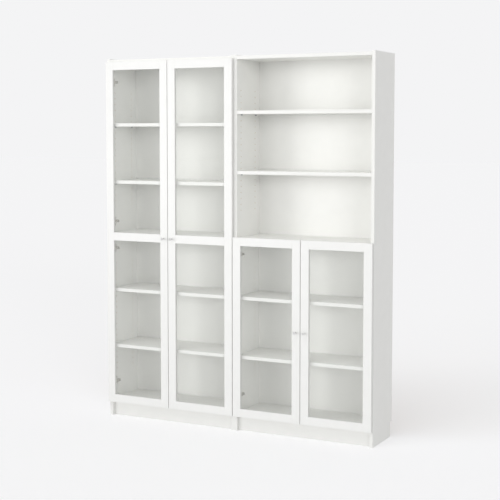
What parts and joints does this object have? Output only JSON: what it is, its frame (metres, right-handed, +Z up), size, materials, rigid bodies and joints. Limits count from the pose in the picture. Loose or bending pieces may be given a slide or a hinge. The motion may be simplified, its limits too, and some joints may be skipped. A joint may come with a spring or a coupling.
{
  "type": "bookcase with glass doors",
  "caption": "Wide bookcase of board cabinets side by side: framed glass doors, tall and low, on concealed hinges; open upper shelves, adjustable boards on pins and a skirting notch at the rear.",
  "frame": {"origin": "on the floor, under the middle of the whole bookcase's box, knobs included", "axes": "+Z up, -Y towards the room in front of the doors, +X to the right as seen from the front"},
  "size_m": [1.6002, 0.322, 2.02],
  "materials": {
    "white_foil": "particleboard with a smooth satin white foil and edge band",
    "back_board": "thin fibreboard, white lacquered",
    "door_foil": "fibreboard door frame wrapped in satin white foil",
    "glass": "clear tempered glass",
    "steel": "nickel-plated pressed steel",
    "knob_metal": "satin turned aluminium"
  },
  "bodies": {
    "carcass": {"left_cabinet_left_side": "white_foil", "left_cabinet_right_side": "white_foil", "left_cabinet_bottom_panel": "white_foil", "left_cabinet_fixed_shelf": "white_foil", "left_cabinet_top_panel": "white_foil", "left_cabinet_plinth": "white_foil", "left_cabinet_back_panel": "back_board", "left_cabinet_shelf_1": "white_foil", "left_cabinet_shelf_2": "white_foil", "left_cabinet_shelf_3": "white_foil", "left_cabinet_shelf_4": "white_foil", "right_cabinet_left_side": "white_foil", "right_cabinet_right_side": "white_foil", "right_cabinet_bottom_panel": "white_foil", "right_cabinet_fixed_shelf": "white_foil", "right_cabinet_top_panel": "white_foil", "right_cabinet_plinth": "white_foil", "right_cabinet_back_panel": "back_board", "right_cabinet_shelf_1": "white_foil", "right_cabinet_shelf_2": "white_foil", "right_cabinet_shelf_3": "white_foil", "right_cabinet_shelf_4": "white_foil", "tall_left_hinge_arm_1": "steel", "tall_left_hinge_arm_2": "steel", "tall_left_hinge_arm_3": "steel", "tall_left_hinge_arm_4": "steel", "tall_right_hinge_arm_1": "steel", "tall_right_hinge_arm_2": "steel", "tall_right_hinge_arm_3": "steel", "tall_right_hinge_arm_4": "steel", "low_left_hinge_arm_1": "steel", "low_left_hinge_arm_2": "steel", "low_right_hinge_arm_1": "steel", "low_right_hinge_arm_2": "steel"},
    "tall_left_links": {"tall_left_hinge_link_1": "steel", "tall_left_hinge_link_2": "steel", "tall_left_hinge_link_3": "steel", "tall_left_hinge_link_4": "steel"},
    "tall_left_door": {"tall_left_door_frame": "door_foil", "tall_left_door_upper_glass": "glass", "tall_left_door_lower_glass": "glass", "tall_left_door_knob": "knob_metal"},
    "tall_right_links": {"tall_right_hinge_link_1": "steel", "tall_right_hinge_link_2": "steel", "tall_right_hinge_link_3": "steel", "tall_right_hinge_link_4": "steel"},
    "tall_right_door": {"tall_right_door_frame": "door_foil", "tall_right_door_upper_glass": "glass", "tall_right_door_lower_glass": "glass", "tall_right_door_knob": "knob_metal"},
    "low_left_links": {"low_left_hinge_link_1": "steel", "low_left_hinge_link_2": "steel"},
    "low_left_door": {"low_left_door_frame": "door_foil", "low_left_door_glass": "glass", "low_left_door_knob": "knob_metal"},
    "low_right_links": {"low_right_hinge_link_1": "steel", "low_right_hinge_link_2": "steel"},
    "low_right_door": {"low_right_door_frame": "door_foil", "low_right_door_glass": "glass", "low_right_door_knob": "knob_metal"}
  },
  "joints": [
    {"name": "tall_left_links_swing", "type": "hinge", "parent": "carcass", "child": "tall_left_links", "pos_m": [-0.76815, -0.112, 0.567], "axis": [0, 0, 1], "range_deg": [0, 54]},
    {"name": "tall_left_door_turn", "type": "hinge", "parent": "tall_left_links", "child": "tall_left_door", "pos_m": [-0.78962, -0.125, 0.567], "axis": [0, 0, -1], "range_deg": [0, 154]},
    {"name": "tall_right_links_swing", "type": "hinge", "parent": "carcass", "child": "tall_right_links", "pos_m": [-0.03215, -0.112, 0.567], "axis": [0, 0, -1], "range_deg": [0, 48]},
    {"name": "tall_right_door_turn", "type": "hinge", "parent": "tall_right_links", "child": "tall_right_door", "pos_m": [-0.01068, -0.125, 0.567], "axis": [0, 0, 1], "range_deg": [0, 136]},
    {"name": "low_left_links_swing", "type": "hinge", "parent": "carcass", "child": "low_left_links", "pos_m": [0.03215, -0.112, 0.567], "axis": [0, 0, 1], "range_deg": [0, 48]},
    {"name": "low_left_door_turn", "type": "hinge", "parent": "low_left_links", "child": "low_left_door", "pos_m": [0.01068, -0.125, 0.567], "axis": [0, 0, -1], "range_deg": [0, 136]},
    {"name": "low_right_links_swing", "type": "hinge", "parent": "carcass", "child": "low_right_links", "pos_m": [0.76815, -0.112, 0.567], "axis": [0, 0, -1], "range_deg": [0, 54]},
    {"name": "low_right_door_turn", "type": "hinge", "parent": "low_right_links", "child": "low_right_door", "pos_m": [0.78962, -0.125, 0.567], "axis": [0, 0, 1], "range_deg": [0, 154]}
  ],
  "couplings": [
    {"joint": "tall_left_links_swing", "follows": "tall_left_door_turn", "ratio": 0.35},
    {"joint": "tall_right_links_swing", "follows": "tall_right_door_turn", "ratio": 0.35},
    {"joint": "low_left_links_swing", "follows": "low_left_door_turn", "ratio": 0.35},
    {"joint": "low_right_links_swing", "follows": "low_right_door_turn", "ratio": 0.35}
  ]
}
